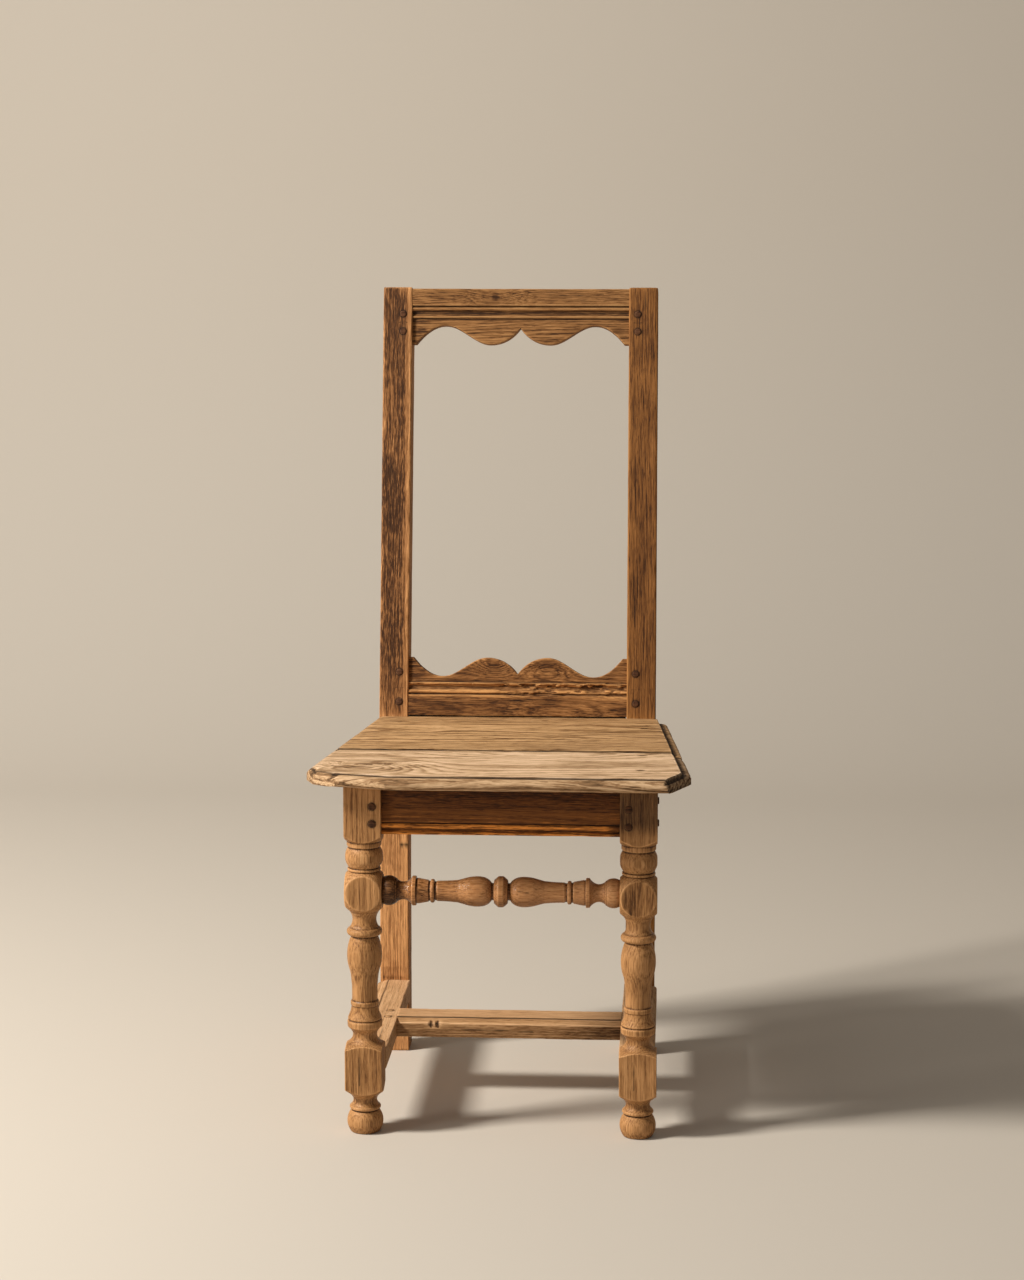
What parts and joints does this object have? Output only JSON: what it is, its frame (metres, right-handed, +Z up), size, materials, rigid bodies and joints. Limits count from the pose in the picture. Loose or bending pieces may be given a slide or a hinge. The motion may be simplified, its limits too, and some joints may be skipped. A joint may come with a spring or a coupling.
{
  "type": "weathered oak side chair",
  "caption": "Armless joined side chair of bare, worn oak with turned front legs, a turned front stretcher, scalloped back rails and a two-board seat.",
  "frame": {"origin": "on the floor, in the middle of the chair's overall plan", "axes": "+Z up, +Y from the nose of the seat towards the back, +X to the right as seen from in front"},
  "size_m": [0.46, 0.5306, 1.01],
  "materials": {
    "back_oak": "bare weathered oak, dark in the grain, with stains round the pegs",
    "rail_oak": "bare dark oak",
    "pale_oak": "bare dry oak, worn smooth on the turnings",
    "seat_oak": "bare oak boards, worn pale and grey-tan",
    "peg_oak": "dark end grain",
    "iron": "rusted forged nail heads"
  },
  "bodies": {
    "root": {"front_leg_left": "pale_oak", "front_leg_right": "pale_oak", "rear_post_left": "back_oak", "rear_post_right": "back_oak", "crest_rail": "back_oak", "lower_back_rail": "back_oak", "front_seat_rail": "rail_oak", "side_seat_rail_left": "rail_oak", "side_seat_rail_right": "rail_oak", "rear_seat_rail": "rail_oak", "turned_front_stretcher": "pale_oak", "side_stretcher_left": "pale_oak", "side_stretcher_right": "pale_oak", "cross_stretcher": "pale_oak", "seat_board_front": "seat_oak", "seat_board_rear": "seat_oak", "crest_rail_pegs": "peg_oak", "lower_back_rail_pegs": "peg_oak", "front_seat_rail_pegs": "peg_oak", "side_seat_rail_pegs": "peg_oak", "rear_seat_rail_pegs": "peg_oak", "cross_stretcher_pegs": "peg_oak", "seat_nails": "iron"}
  },
  "joints": []
}
